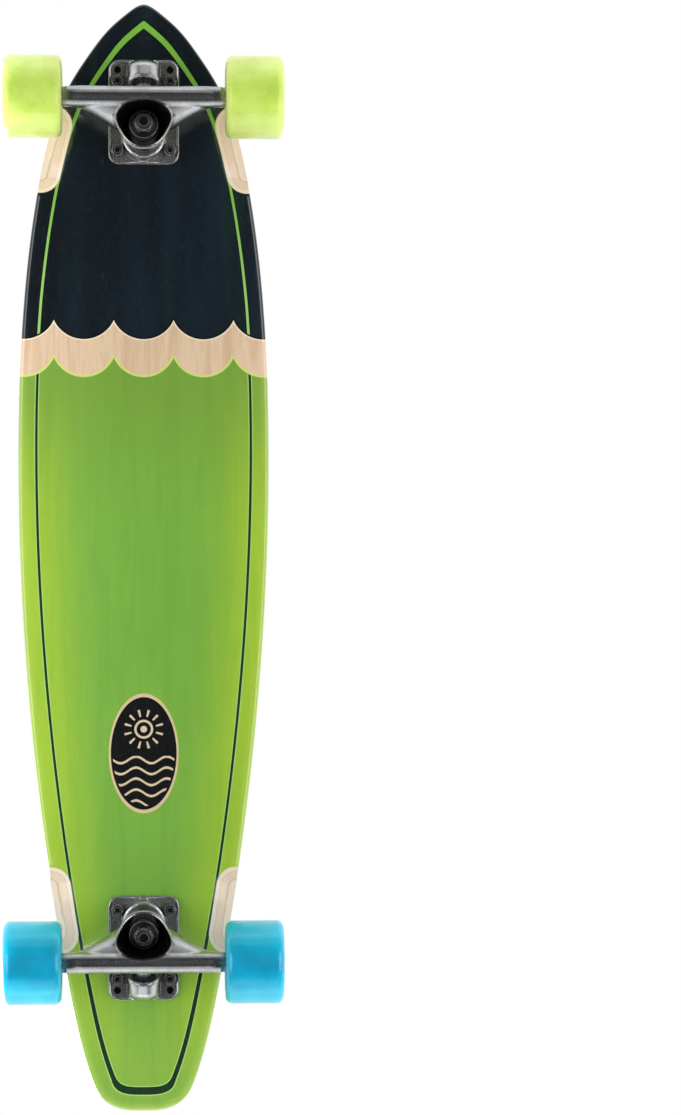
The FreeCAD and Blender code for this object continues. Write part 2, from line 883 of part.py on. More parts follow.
def cages(side):
    """The cages that keep the balls of one wheel's two bearings apart, with a round window for each."""
    inner = ball_pitch_radius - cage_wall
    outer = ball_pitch_radius + cage_wall
    window_radius = ball_radius + cage_pocket_clearance
    rings = []
    for y in wheel_bearings(side):
        centre = axle_centre + Vector(0, y, 0)
        ring = on_axle(tube_profile(inner, outer, cage_half_width), y)
        windows = []
        for place in ball_places(y):
            windows.append(
                Part.makeCylinder(window_radius, bearing_radius, centre, place - centre)
            )
        rings.append(ring.cut(windows))
    return Part.makeCompound(rings)


def shields(side):
    """The thin shields on both faces of one wheel's two bearings."""
    inner = inner_race_radius + shield_gap
    outer = outer_race_radius
    offset = bearing_width / 2 - shield_inset - shield_thickness / 2
    discs = []
    for y in wheel_bearings(side):
        for end in (-1, 1):
            profile = tube_profile(inner, outer, shield_thickness / 2)
            discs.append(on_axle(profile, y + end * offset))
    return Part.makeCompound(discs)


def core(side):
    """The moulded hub with a bearing seat in each face and a step between them."""
    half = bearing_stack + core_rim
    step = spacer_length / 2
    return on_axle(
        [
            (core_step_radius, -step),
            (bearing_radius, -step),
            (bearing_radius, -half),
            (core_diameter / 2, -half),
            (core_diameter / 2, half),
            (bearing_radius, half),
            (bearing_radius, step),
            (core_step_radius, step),
        ],
        side * wheel_y,
    )


def tyre(side):
    """The cast urethane tread, with rounded lips and a dished face on each side."""
    half = wheel_width / 2
    hub = bearing_stack + core_rim
    core_radius = core_diameter / 2
    lip_top = wheel_radius - wheel_lip_radius
    lip_inner = lip_top - wheel_lip_width
    bend = wheel_lip_radius * (1 - math.cos(math.pi / 4))

    def point(radius, along):
        return Vector(radius, 0, along)

    edges = [Part.LineSegment(point(core_radius, -hub), point(core_radius, hub))]
    for end in (1, -1):
        face = [
            Part.LineSegment(point(core_radius, end * hub), point(wheel_dish_radius, end * hub)),
            Part.LineSegment(point(wheel_dish_radius, end * hub), point(lip_inner, end * half)),
            Part.LineSegment(point(lip_inner, end * half), point(lip_top, end * half)),
            Part.Arc(
                point(lip_top, end * half),
                point(wheel_radius - bend, end * (half - bend)),
                point(wheel_radius, end * (half - wheel_lip_radius)),
            ),
        ]
        edges += face
    tread = half - wheel_lip_radius
    edges.append(Part.LineSegment(point(wheel_radius, -tread), point(wheel_radius, tread)))
    wire = Part.Wire(Part.__sortEdges__([edge.toShape() for edge in edges]))
    solid = Part.Face(wire).revolve(Vector(0, 0, 0), Vector(0, 0, 1), 360)
    centre = axle_centre + Vector(0, side * wheel_y, 0)
    solid.Placement = FreeCAD.Placement(
        centre, FreeCAD.Rotation(Vector(0, 0, 1), Vector(0, 1, 0))
    )
    return solid


def on_board(shape, end):
    """A truck's piece moved from the truck's own frame to its place under the deck."""
    placed = shape.copy()
    if end == "rear":
        placed.rotate(Vector(0, 0, 0), Vector(0, 0, 1), 180)
    bolts_x = front_bolts_x if end == "front" else rear_bolts_x
    placed.translate(Vector(bolts_x, 0, deck_bottom))
    return placed


def write(name, shape):
    """Saves one node."""
    shape.exportStep("parts/" + name + ".step")


truck_pieces = {
    "mounting_bolts": mounting_bolts,
    "mounting_lock_nuts": mounting_lock_nuts,
    "baseplate": baseplate,
    "kingpin": kingpin,
    "seat_washer": seat_washer,
    "seat_bushing": seat_bushing,
    "road_bushing": road_bushing,
    "cup_washer": cup_washer,
    "kingpin_nut": kingpin_nut,
    "pivot_cup": pivot_cup,
    "hanger": hanger,
    "axle": axle,
    "inner_races": inner_races,
    "spacers": spacers,
    "speed_rings": speed_rings,
    "axle_nuts": axle_nuts,
}
wheel_pieces = {
    "tyre": tyre,
    "core": core,
    "outer_races": outer_races,
    "balls": balls,
    "cages": cages,
    "shields": shields,
}

os.makedirs("parts", exist_ok=True)
write("deck", deck())
write("grip_tape", grip_tape())
for name, build in truck_pieces.items():
    piece = build()
    for end in ("front", "rear"):
        write(end + "_" + name, on_board(piece, end))
for name, build in wheel_pieces.items():
    for side, sign in (("left", 1), ("right", -1)):
        write("front_" + side + "_" + name, on_board(build(sign), "front"))
        write("rear_" + side + "_" + name, on_board(build(-sign), "rear"))
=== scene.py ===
import math

import bmesh
import bpy
import numpy as np
from mathutils.kdtree import KDTree
from mathutils import Matrix, Vector, geometry


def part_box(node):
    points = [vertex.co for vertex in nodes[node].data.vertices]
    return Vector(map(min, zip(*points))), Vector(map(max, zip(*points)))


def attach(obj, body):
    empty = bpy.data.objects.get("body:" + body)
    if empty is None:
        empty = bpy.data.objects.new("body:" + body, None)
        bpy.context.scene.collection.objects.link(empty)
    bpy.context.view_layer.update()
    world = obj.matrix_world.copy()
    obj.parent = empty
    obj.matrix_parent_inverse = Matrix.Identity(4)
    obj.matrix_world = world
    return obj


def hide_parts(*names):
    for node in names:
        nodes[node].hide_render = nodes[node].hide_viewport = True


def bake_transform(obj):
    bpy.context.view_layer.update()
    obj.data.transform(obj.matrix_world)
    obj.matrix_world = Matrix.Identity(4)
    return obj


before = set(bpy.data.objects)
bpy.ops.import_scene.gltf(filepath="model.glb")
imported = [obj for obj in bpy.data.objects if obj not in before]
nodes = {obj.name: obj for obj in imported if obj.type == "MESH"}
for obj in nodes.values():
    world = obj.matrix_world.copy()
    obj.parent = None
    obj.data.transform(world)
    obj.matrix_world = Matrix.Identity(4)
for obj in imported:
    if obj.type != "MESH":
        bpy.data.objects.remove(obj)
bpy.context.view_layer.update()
mm = 0.001


# The deck: seven plies of maple pressed together with a low camber, cut to a pintail, its rails
# rounded over and four wheel wells sanded into the underside. The underside is sprayed navy at the
# nose and stained green to the tail, with a bare band between, then lacquered to a high gloss.
rail_radius = 3.0 * mm
outline_step = 2.4 * mm
face_step = 2.6 * mm
hole_points = 24
camber_rise = 6.0 * mm
flat_reach = 60.0 * mm
well_depth = 3.4 * mm
well_reach = 16.0 * mm
well_length = 70.0 * mm
bolt_hole = 2.7 * mm
bolt_head = 4.7 * mm
countersink = 5.0 * mm
countersink_depth = 2.7 * mm
spare_pitch = 9.5 * mm
rail_paint = 3.2 * mm
paint_skin = 0.25 * mm
off_paint = 1.0 * mm
off_well = 5.0 * mm
smallest_side = 1.5 * mm
same_place = 0.02 * mm
rounding_steps = (0, 18, 36, 54, 72, 90)


def vertices_of(node):
    """A CAD node's vertices, as rows of x, y, z."""
    places = np.zeros(len(nodes[node].data.vertices) * 3)
    nodes[node].data.vertices.foreach_get("co", places)
    return places.reshape(-1, 3)


def middle(node):
    """The middle of a CAD node's box."""
    low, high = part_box(node)
    return (low + high) / 2


def smooth_loop(corners, spacing):
    """Evenly spaced points on a smooth closed curve through the given ones."""
    ahead = np.roll(corners, -1, axis=0)
    run = np.linalg.norm(ahead - corners, axis=1)[:, None]
    before = np.roll(run, 1, axis=0)
    slope = (ahead - corners) / run
    tangent = (slope * before + np.roll(slope, 1, axis=0) * run) / (before + run)
    starts = np.concatenate([[0], np.cumsum(run)])
    places = np.linspace(0, starts[-1], round(starts[-1] / spacing), endpoint=False)
    i = np.searchsorted(starts, places, side="right") - 1
    t = ((places - starts[i]) / run[i, 0])[:, None]
    leave = tangent[i] * run[i]
    arrive = np.roll(tangent, -1, axis=0)[i] * run[i]
    return (
        (2 * t**3 - 3 * t**2 + 1) * corners[i]
        + (t**3 - 2 * t**2 + t) * leave
        + (3 * t**2 - 2 * t**3) * ahead[i]
        + (t**3 - t**2) * arrive
    )


def outline_of(node):
    """The plan outline of a flat CAD node, anticlockwise, as evenly spaced points."""
    flat = [tuple(v[:2]) for v in vertices_of(node)]
    hull = [np.array(flat[i]) for i in geometry.convex_hull_2d(flat)]
    kept = [hull[0]]
    for point in hull[1:]:
        gaps = [np.linalg.norm(point - other) for other in (kept[-1], kept[0])]
        if min(gaps) > smallest_side:
            kept.append(point)
    loop = smooth_loop(np.array(kept), outline_step)
    ahead = np.roll(loop, -1, axis=0)
    area = np.sum(loop[:, 0] * ahead[:, 1] - loop[:, 1] * ahead[:, 0])
    return loop if area > 0 else loop[::-1]


def inward(loop):
    """The unit inward direction at each point of an anticlockwise loop."""
    along = np.roll(loop, -1, axis=0) - np.roll(loop, 1, axis=0)
    side = np.stack([-along[:, 1], along[:, 0]], axis=1)
    return side / np.linalg.norm(side, axis=1)[:, None]


def distance_to(loop, points):
    """How far each point is from a closed loop."""
    start, run = loop, np.roll(loop, -1, axis=0) - loop
    length = np.sum(run * run, axis=1)
    nearest = []
    for part in np.array_split(points, max(1, len(points) // 3000)):
        gap = part[:, None, :] - start[None]
        share = np.clip(np.sum(gap * run[None], axis=2) / length, 0, 1)
        gap -= share[:, :, None] * run[None]
        nearest.append(np.sqrt(np.sum(gap * gap, axis=2).min(axis=1)))
    return np.concatenate(nearest)


def camber_at(x):
    """How far the camber lifts the board at each x."""
    quarter = (front_flat - rear_flat) / 4
    radius = (quarter**2 + camber_rise**2 / 4) / camber_rise
    from_top = np.abs(x - (front_flat + rear_flat) / 2)
    crown = camber_rise - radius + np.sqrt(radius**2 - np.minimum(from_top, quarter) ** 2)
    past = np.clip(2 * quarter - from_top, 0, quarter)
    foot = radius - np.sqrt(radius**2 - past**2)
    return np.where(from_top < quarter, crown, foot)


def bolt_centres():
    """The plan places of the eight mounting bolts."""
    places = []
    for end in ("front", "rear"):
        low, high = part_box(end + "_mounting_bolts")
        for x in (low.x + bolt_head, high.x - bolt_head):
            for y in (low.y + bolt_head, high.y - bolt_head):
                places.append((x, y))
    return np.array(places)


def circle(centre, radius):
    """A loop of points round a centre."""
    turn = np.linspace(0, 2 * math.pi, hole_points, endpoint=False)
    return centre + radius * np.stack([np.cos(turn), np.sin(turn)], axis=1)


def filled(outer, holes, spacing):
    """A plan loop filled with an even net of triangles, leaving the holes open."""
    low, high = outer.min(axis=0), outer.max(axis=0)
    xs = np.arange(math.ceil(low[0] / spacing), high[0] / spacing) * spacing
    ys = np.arange(math.ceil(low[1] / spacing), high[1] / spacing) * spacing
    net = np.stack(np.meshgrid(xs, ys), axis=2).reshape(-1, 2)
    left = outer[outer[:, 1] >= 0]
    left = left[np.argsort(left[:, 0])]
    room = np.interp(net[:, 0], left[:, 0], left[:, 1]) - np.abs(net[:, 1])
    net = net[room > 0]
    net = net[distance_to(outer, net) > 0.55 * spacing]
    for hole in holes:
        reach = np.linalg.norm(hole[0] - hole.mean(axis=0)) + 0.5 * spacing
        net = net[np.linalg.norm(net - hole.mean(axis=0), axis=1) > reach]
    points = np.concatenate([outer, *holes, net])
    edges = []
    start = 0
    for loop in [outer, *holes]:
        count = len(loop)
        edges += [(start + i, start + (i + 1) % count) for i in range(count)]
        start += count
    result = geometry.delaunay_2d_cdt([Vector(p) for p in points], edges, [], 2, 1e-7, False)
    return np.array([tuple(v) for v in result[0]]), [tuple(f) for f in result[2]]


def board_mesh(name, outline, profile, hole_size, spacing):
    """A board with an edge profile of (inset, height), and bolt holes through it.
    A hole's size is its radius below, its radius above and how deep the wider part goes."""
    outline_in = inward(outline)
    rings = [outline + outline_in * inset for inset, _ in profile]
    lower_holes = [circle(centre, hole_size[0]) for centre in bolt_centres()]
    upper_holes = [circle(centre, hole_size[1]) for centre in bolt_centres()]
    verts = []
    faces = []
    for ring, holes, height, flip in (
        (rings[0], lower_holes, 0, True),
        (rings[-1], upper_holes, profile[-1][1], False),
    ):
        plan, triangles = filled(ring, holes, spacing)
        start = len(verts)
        verts += [(x, y, height) for x, y in plan]
        faces += [tuple(start + i for i in (t[::-1] if flip else t)) for t in triangles]
    count = len(outline)
    for (inset, height), ring in zip(profile, rings):
        verts += [(x, y, height) for x, y in ring]
    first = len(verts) - count * len(profile)
    for k in range(len(profile) - 1):
        for i in range(count):
            a, b = first + k * count + i, first + k * count + (i + 1) % count
            faces.append((a, b, b + count, a + count))
    sink = profile[-1][1] - hole_size[2]
    for lower, upper in zip(lower_holes, upper_holes):
        start = len(verts)
        for loop, height in ((lower, 0), (lower, sink), (upper, profile[-1][1])):
            verts += [(x, y, height) for x, y in loop]
        for k in range(2):
            for i in range(hole_points):
                a = start + k * hole_points + i
                b = start + k * hole_points + (i + 1) % hole_points
                faces.append((b, a, a + hole_points, b + hole_points))
    mesh = bpy.data.meshes.new(name)
    mesh.from_pydata(np.array(verts).tolist(), [], faces)
    made = bmesh.new()
    made.from_mesh(mesh)
    bmesh.ops.remove_doubles(made, verts=made.verts, dist=same_place)
    made.to_mesh(mesh)
    made.free()
    return mesh


def places_of(mesh):
    """A mesh's vertices, as rows of x, y, z."""
    places = np.zeros(len(mesh.vertices) * 3)
    mesh.vertices.foreach_get("co", places)
    return places.reshape(-1, 3)


def painted_value(mesh, name, values):
    """Keeps one number for each vertex, for the mesh's material to read."""
    mesh.attributes.new(name, "FLOAT", "POINT").data.foreach_set("value", values)


def shown(name, mesh, material, smooth_angle=35):
    """An object of a mesh with its finish, smooth but for its sharp edges."""
    made = bpy.data.objects.new(name, mesh)
    bpy.context.scene.collection.objects.link(made)
    mesh.materials.append(material)
    mesh.shade_smooth()
    mesh.set_sharp_from_angle(angle=math.radians(smooth_angle))
    return made


def colour(code):
    """A shader colour from a six-digit paint code."""
    parts = [int(code[i : i + 2], 16) / 255 for i in (0, 2, 4)]
    return (*[c / 12.92 if c < 0.04045 else ((c + 0.055) / 1.055) ** 2.4 for c in parts], 1)


class Field:
    """A number that varies over a surface, worked out by a finish's own math nodes."""

    def __init__(self, tree, socket):
        self.tree = tree
        self.socket = socket

    def math(self, operation, *others, swap=False):
        node = self.tree.nodes.new("ShaderNodeMath")
        node.operation = operation
        values = [self, *others]
        for socket, value in zip(node.inputs, values[::-1] if swap else values):
            if isinstance(value, Field):
                self.tree.links.new(value.socket, socket)
            else:
                socket.default_value = value
        return Field(self.tree, node.outputs[0])

    def __add__(self, other):
        return self.math("ADD", other)

    def __sub__(self, other):
        return self.math("SUBTRACT", other)

    def __rsub__(self, other):
        return self.math("SUBTRACT", other, swap=True)

    def __mul__(self, other):
        return self.math("MULTIPLY", other)

    def __truediv__(self, other):
        return self.math("DIVIDE", other)

    def __gt__(self, other):
        return self.math("GREATER_THAN", other)

    def __lt__(self, other):
        return self.math("LESS_THAN", other)

    def __abs__(self):
        return self.math("ABSOLUTE")

    __radd__ = __add__
    __rmul__ = __mul__

    def ramp(self, start, end, low=0.0, high=1.0, smooth=True):
        """The number's own range from start to end, mapped to low and high."""
        node = self.tree.nodes.new("ShaderNodeMapRange")
        node.interpolation_type = "SMOOTHSTEP" if smooth else "LINEAR"
        self.tree.links.new(self.socket, node.inputs[0])
        for i, value in zip((1, 2, 3, 4), (start, end, low, high)):
            node.inputs[i].default_value = value
        return Field(self.tree, node.outputs[0])


class Finish:
    """A material: its shader, and the fields and colours that feed it."""

    def __init__(self, name, **sockets):
        self.material = bpy.data.materials.new(name)
        self.material.use_nodes = True
        self.tree = self.material.node_tree
        self.shader = self.tree.nodes["Principled BSDF"]
        for socket, value in sockets.items():
            self.shader.inputs[socket.replace("_", " ")].default_value = value
        coordinates = self.tree.nodes.new("ShaderNodeTexCoord")
        self.place = coordinates.outputs["Object"]

    def plan(self):
        """The place on the surface in millimetres, as fields along and across the board."""
        split = self.tree.nodes.new("ShaderNodeSeparateXYZ")
        self.tree.links.new(self.place, split.inputs[0])
        return [Field(self.tree, out) * (1 / mm) for out in split.outputs[:2]]

    def kept(self, name):
        """A number kept on the mesh's vertices."""
        node = self.tree.nodes.new("ShaderNodeAttribute")
        node.attribute_name = name
        return Field(self.tree, node.outputs["Fac"])

    def noise(self, size, detail=3.0, roughness=0.55, distortion=0.0):
        """Random mottling; size is the spots' size in millimetres along x, y and z."""
        scaled = self.tree.nodes.new("ShaderNodeVectorMath")
        scaled.operation = "MULTIPLY"
        self.tree.links.new(self.place, scaled.inputs[0])
        scaled.inputs[1].default_value = [1 / (s * mm) for s in size]
        node = self.tree.nodes.new("ShaderNodeTexNoise")
        node.inputs["Scale"].default_value = 1
        node.inputs["Detail"].default_value = detail
        node.inputs["Roughness"].default_value = roughness
        node.inputs["Distortion"].default_value = distortion
        self.tree.links.new(scaled.outputs[0], node.inputs["Vector"])
        return Field(self.tree, node.outputs[0])

    def grains(self, size):
        """Random cells, as (distance to the nearest middle, a number of the cell's own)."""
        node = self.tree.nodes.new("ShaderNodeTexVoronoi")
        node.inputs["Scale"].default_value = 1 / (size * mm)
        self.tree.links.new(self.place, node.inputs["Vector"])
        split = self.tree.nodes.new("ShaderNodeSeparateColor")
        self.tree.links.new(node.outputs["Color"], split.inputs[0])
        return Field(self.tree, node.outputs["Distance"]), Field(self.tree, split.outputs[0])

    def mix(self, share, under, over):
        """One colour laid over another."""
        node = self.tree.nodes.new("ShaderNodeMix")
        node.data_type = "RGBA"
        self.tree.links.new(share.socket, node.inputs[0])
        for socket, value in ((node.inputs[6], under), (node.inputs[7], over)):
            if isinstance(value, bpy.types.NodeSocket):
                self.tree.links.new(value, socket)
            else:
                socket.default_value = colour(value)
        return node.outputs[2]

    def feed(self, socket, value):
        """Links a colour or a field to one of the shader's sockets."""
        source = value.socket if isinstance(value, Field) else value
        self.tree.links.new(source, self.shader.inputs[socket.replace("_", " ")])

    def relief(self, height, depth, edge_radius=0.0):
        """Bumps of a depth in millimetres, on edges worn to a radius in millimetres."""
        bump = self.tree.nodes.new("ShaderNodeBump")
        bump.inputs["Distance"].default_value = depth * mm
        self.tree.links.new(height.socket, bump.inputs["Height"])
        if edge_radius:
            worn = self.tree.nodes.new("ShaderNodeBevel")
            worn.inputs["Radius"].default_value = edge_radius * mm
            self.tree.links.new(worn.outputs[0], bump.inputs["Normal"])
        self.tree.links.new(bump.outputs[0], self.shader.inputs["Normal"])


def span(a, b):
    """The length of a line that reaches a one way and b the other."""
    return (a * a + b * b).math("SQRT")


def scallops(x, y, cusp, pitch, radius):
    """How far a place is ahead of a scalloped line, and outside its arcs. The cusps point
    to the nose."""
    across = (y / pitch + 0.5).math("FRACT") * pitch - pitch / 2
    centre = cusp + math.sqrt(radius**2 - pitch**2 / 4)
    half = (radius**2 - across * across).math("SQRT")
    ahead = x - (centre - half)
    return ahead, span(across, x - centre) - radius


def oval_reach(x, y, place, half_length, half_width):
    """0 in the middle of a printed oval, 1 on its edge."""
    return span((x - place) / half_length, y / half_width)


def wave_lines(x, y, pitch, height):
    """How far each place is from a run of wavy lines across the board, in pitches."""
    wave = (y * wave_turn).math("SINE") * height
    return abs(((x + wave) / pitch).math("FRACT") - 0.5)


def maple(finish):
    """Rotary-cut maple: long pale figure, fine dark pores and a little pink heartwood."""
    figure = finish.noise((160, 16, 16), 4, 0.6, 1.2).ramp(0.35, 0.7)
    streaks = finish.noise((60, 1.6, 1.6), 3, 0.6).ramp(0.45, 0.75)
    pores = finish.noise((9, 0.35, 0.35), 2, 0.7).ramp(0.62, 0.78)
    wood = finish.mix(figure, "E1C5AC", "D0AE91")
    wood = finish.mix(streaks * 0.35, wood, "C99A78")
    return finish.mix(pores * 0.35, wood, "9A6B48"), figure, pores


# The deck's printing and the painted shade in its open bolt holes, in millimetres from the board's
# middle, with the nose ahead.
ply = 1.5
scallop_pitch = 47.0
scallop_radius = 25.7
nose_cusps = 187.2
tail_cusps = 157.1
tail_edging_end = 158.5
nose_edging_end = 205.0
pinline_start = 150.0
badge_place = -154.0
badge_half_length = 47.0
badge_half_width = 27.5
wave_turn = 0.26
wave_pitch = 8.6
wave_height = 2.6
waves_end = -156.0
sun_place = -135.0
sun_ring = 6.5
sun_middle = 2.6
ray_start = 10.0
ray_end = 15.5
rays_end = -152.0
rays_per_turn = 12
# The radius of the painted shade in each open bolt hole.
hole_shade_radius = 3.4


def bare_plies(finish, height, wood, figure):
    """The sanded edge: pale maple crossed by its plies and their glue."""
    wander = (finish.noise((30, 9, 9), 3, 0.6) - 0.5) * 0.7
    plies = (height + wander) / ply
    dark_ply = (plies / 2).math("FRACT").ramp(0.46, 0.54)
    glue = abs(plies.math("FRACT") - 0.5).ramp(0.42, 0.5)
    bare = finish.mix(figure * 0.2 + 0.45, wood, "F6E6D8")
    bare = finish.mix(dark_ply * 0.35, bare, "CDA487")
    return finish.mix(glue * 0.4, bare, "9C7152")


def nose_paint(finish, x, edge):
    """The nose: sprayed navy, with a lime pinline that broadens towards the tip."""
    sweep = finish.noise((300, 45, 45), 2, 0.5)
    navy = finish.mix(sweep.ramp(0.35, 0.7), "08131A", "0F1F2C")
    overspray = finish.noise((200, 30, 30), 2, 0.5).ramp(0.55, 0.75)
    navy = finish.mix(overspray * 0.4, navy, "15302A")
    pin_half = 1.0 + 1.45 * x.ramp(250, 421, smooth=False).math("POWER", 2.0)
    pin = abs(edge - x.ramp(200, 360, 13.3, 15.3, False))
    navy = finish.mix(pin < pin_half + 0.9, navy, "07110D")
    lime = finish.mix(x.ramp(180, 330), "95C66C", "71AF3C")
    return finish.mix(pin < pin_half, navy, lime)


def tail_stain(finish, x, edge, figure, pores):
    """The tail: green stain over the grain, yellower to the rails, with a dark pinline."""
    green = finish.mix(edge.ramp(5, 60), "9CBD35", "79AB43")
    fade = x.ramp(165, 20) * x.ramp(-435, -330)
    green = finish.mix(1 - fade, green, "769E3B")
    green = finish.mix(edge.ramp(8, 1) * 0.35, green, "B9CE62")
    green = finish.mix(figure * 0.16, green, "4C7F2C")
    green = finish.mix(pores * 0.22, green, "47762A")
    line_half = 1.0 + 0.9 * x.ramp(-250, -410, smooth=False)
    line_half += 1.3 * x.ramp(-408, -419)
    line = abs(edge - x.ramp(135, -330, 14.0, 16.0, False))
    below = x < pinline_start
    green = finish.mix((line < line_half + 0.75) * below, green, "9FC86F")
    return finish.mix((line < line_half) * below, green, "16301A")


def spare_hole_shade(finish, x, y, paint):
    """Painted shade on the deck where it shows at the bottom of the open holes beyond the bolts,
    one pair at each end.
    """
    bolts = bolt_centres() / mm
    pitch = spare_pitch / mm
    across = abs(y) - abs(bolts[:, 1]).max()
    for place in (bolts[:, 0].max() + pitch, bolts[:, 0].min() - pitch):
        paint = finish.mix(span(x - place, across) < hole_shade_radius, paint, "08090A")
    return paint


def sun_badge(finish, x, y, paint):
    """A black oval edged in bare maple, with waves and a sun left bare in it."""
    oval = oval_reach(x, y, badge_place, badge_half_length, badge_half_width)
    crests = wave_lines(x, y, wave_pitch, wave_height)
    waves = (crests < 0.11) * (x < waves_end)
    sun_x = x - sun_place
    sun = span(sun_x, y)
    turn = sun_x.math("ARCTAN2", y) * (rays_per_turn / (2 * math.pi))
    ray = abs(turn.math("FRACT") - 0.5)
    rays = (ray < 0.12) * (sun > ray_start) * (sun < ray_end) * (x > rays_end)
    sunburst = abs(sun - sun_ring) < 0.9
    drawn = (waves + sunburst + rays + (sun < sun_middle)) * (oval < 0.88)
    paint = finish.mix(oval < 1.0, paint, "D8BC9A")
    paint = finish.mix(oval < 0.94, paint, "0D0F12")
    return finish.mix(drawn.math("MINIMUM", 1.0), paint, "D8C0A6")


def deck_finish():
    finish = Finish("lacquered_deck", Roughness=0.3, Coat_Weight=1.0, Coat_Roughness=0.06)
    x, y = finish.plan()
    edge = finish.kept("from_edge")
    height = finish.kept("height")
    wood, figure, pores = maple(finish)
    bare = bare_plies(finish, height, wood, figure)
    navy = nose_paint(finish, x, edge)
    green = tail_stain(finish, x, edge, figure, pores)

    ahead, outside = scallops(x, y, nose_cusps, scallop_pitch, scallop_radius)
    behind, past = scallops(x, y, tail_cusps, scallop_pitch, scallop_radius)
    paint = finish.mix(abs(outside - 0.35) < 0.9, wood, "F0E2CC")
    tail_edging = (abs(past + 0.9) < 0.9) * (x < tail_edging_end)
    paint = finish.mix(tail_edging, paint, "CFD57C")
    paint = finish.mix(behind < 0.0, paint, green)
    paint = finish.mix(ahead > 0.0, paint, navy)
    nose_edging = (abs(outside + 0.4) < 0.7) * (ahead > -0.5) * (x < nose_edging_end)
    paint = finish.mix(nose_edging, paint, "0A0D10")
    # Painted shade at the bottom of the open bolt holes.
    paint = spare_hole_shade(finish, x, y, paint)
    paint = sun_badge(finish, x, y, paint)

    under = finish.kept("sanded").ramp(0.0, 0.1)
    finish.feed("Base_Color", finish.mix(under, paint, bare))
    scuffs = finish.noise((22, 2.2, 2.2), 4, 0.7).ramp(0.66, 0.8)
    finish.feed("Roughness", 0.26 + scuffs * 0.15 + under * 0.2)
    finish.relief(figure + pores * -0.8, 0.03)
    return finish.material


front_bolts = middle("front_mounting_bolts").x
rear_bolts = middle("rear_mounting_bolts").x
front_flat = front_bolts - flat_reach
rear_flat = rear_bolts + flat_reach
deck_low, deck_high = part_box("deck")
deck_bottom = deck_low.z
deck_thickness = deck_high.z - deck_low.z - camber_rise
outline = outline_of("deck")

turns = [math.radians(a) for a in rounding_steps]
lower_rail = [(rail_radius * (1 - math.sin(a)), rail_radius * (1 - math.cos(a))) for a in turns]
upper_rail = [(inset, deck_thickness - height) for inset, height in reversed(lower_rail)]
deck_mesh = board_mesh(
    "deck_plies",
    outline,
    lower_rail + upper_rail,
    (bolt_hole, countersink, countersink_depth),
    face_step,
)


def well_lift(points):
    """How far the wheel wells lift the underside at each place, below zero outside them."""
    radius = (well_reach**2 + well_depth**2) / (2 * well_depth)
    left = outline[outline[:, 1] >= 0]
    left = left[np.argsort(left[:, 0])]
    lift = np.full(len(points), -off_well)
    for end, outboard in (("front", 1), ("rear", -1)):
        axle_x = middle(end + "_axle").x
        xs = [axle_x - outboard * inset for inset in (well_reach, well_length - well_reach)]
        start, stop = [np.array([x, np.interp(x, left[:, 0], left[:, 1])]) for x in xs]
        run = stop - start
        place = np.stack([points[:, 0], np.abs(points[:, 1])], axis=1)
        share = np.clip((place - start) @ run / (run @ run), 0, 1)
        reach = np.linalg.norm(place - start - share[:, None] * run, axis=1)
        drop = radius - np.sqrt(np.maximum(radius**2 - reach**2, 0))
        lift = np.maximum(lift, well_depth - drop)
    return lift


places = places_of(deck_mesh)
lift = well_lift(places)
on_bottom = places[:, 2] < well_depth
painted_value(deck_mesh, "from_edge", distance_to(outline, places[:, :2]) / mm)
flat_bottom = places[:, 2] < same_place / 2
heights = np.where(flat_bottom, lift, np.maximum(places[:, 2], np.where(on_bottom, lift, 0)))
painted_value(deck_mesh, "height", heights / mm)
past_paint = np.where(places[:, 2] > rail_paint, places[:, 2] - rail_paint, -off_paint)
painted_value(deck_mesh, "sanded", np.maximum(past_paint, lift - paint_skin) / mm)
places[:, 2] = np.where(on_bottom, np.maximum(places[:, 2], lift), places[:, 2])
places[:, 2] += deck_bottom + camber_at(places[:, 0])
deck_mesh.vertices.foreach_set("co", places.ravel())
deck = shown("pressed_maple_deck", deck_mesh, deck_finish(), 22)
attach(deck, "board")
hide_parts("deck")


# The grip tape: silicon-carbide grit glued to a black backing, rolled on and trimmed just inside
# the rails, with holes opened over the bolt heads. Rows of scallops and an oval badge are printed
# on it in lime, placed in millimetres from the board's middle.
grip_thickness = 0.9 * mm
grip_hole = 5.3 * mm
grip_roll = 0.25 * mm
grip_step = 7.0 * mm
grip_rows = 4
first_row = -162.6
row_pitch = 70.2
row_length = 22.0
row_scallop_pitch = 46.8
row_scallop_radius = 23.9
grip_badge_place = -97.4
grip_badge_half_length = 43.0
grip_badge_half_width = 25.5
grip_wave_pitch = 10.5
grip_wave_height = 3.0


def grip_finish():
    finish = Finish("printed_grip", Roughness=0.85, Specular_IOR_Level=0.35)
    x, y = finish.plan()
    reach, grain = finish.grains(0.55)
    sparkle = (grain > 0.86) * reach.ramp(0.5, 0.1)
    black = finish.mix(finish.noise((70, 70, 70), 3).ramp(0.3, 0.75), "232226", "2F2D33")
    black = finish.mix(sparkle, black, "77757C")
    black = finish.mix((grain < 0.3) * 0.6, black, "141316")
    print_wear = finish.noise((2.2, 2.2, 2.2), 3, 0.7).ramp(0.22, 0.36)

    painted = black
    for k in range(grip_rows):
        cusp = first_row - k * row_pitch
        _, distance = scallops(x, y, cusp, row_scallop_pitch, row_scallop_radius)
        row = (abs(distance) < 0.8) * (x < cusp + 1.0) * (x > cusp - row_length)
        painted = finish.mix(row * print_wear, painted, "C9DDA0")

    oval = oval_reach(x, y, grip_badge_place, grip_badge_half_length, grip_badge_half_width)
    lines = wave_lines(x, y, grip_wave_pitch, grip_wave_height)
    painted = finish.mix((oval < 1.0) * print_wear, painted, "98D46C")
    painted = finish.mix((lines < 0.085) * (oval < 0.9), painted, black)
    painted = finish.mix(abs(oval - 0.9) < 0.025, painted, black)
    finish.feed("Base_Color", painted)
    finish.feed("Roughness", 0.9 - sparkle * 0.45)
    finish.relief(reach * -1.0 + grain * 0.6, 0.35)
    return finish.material


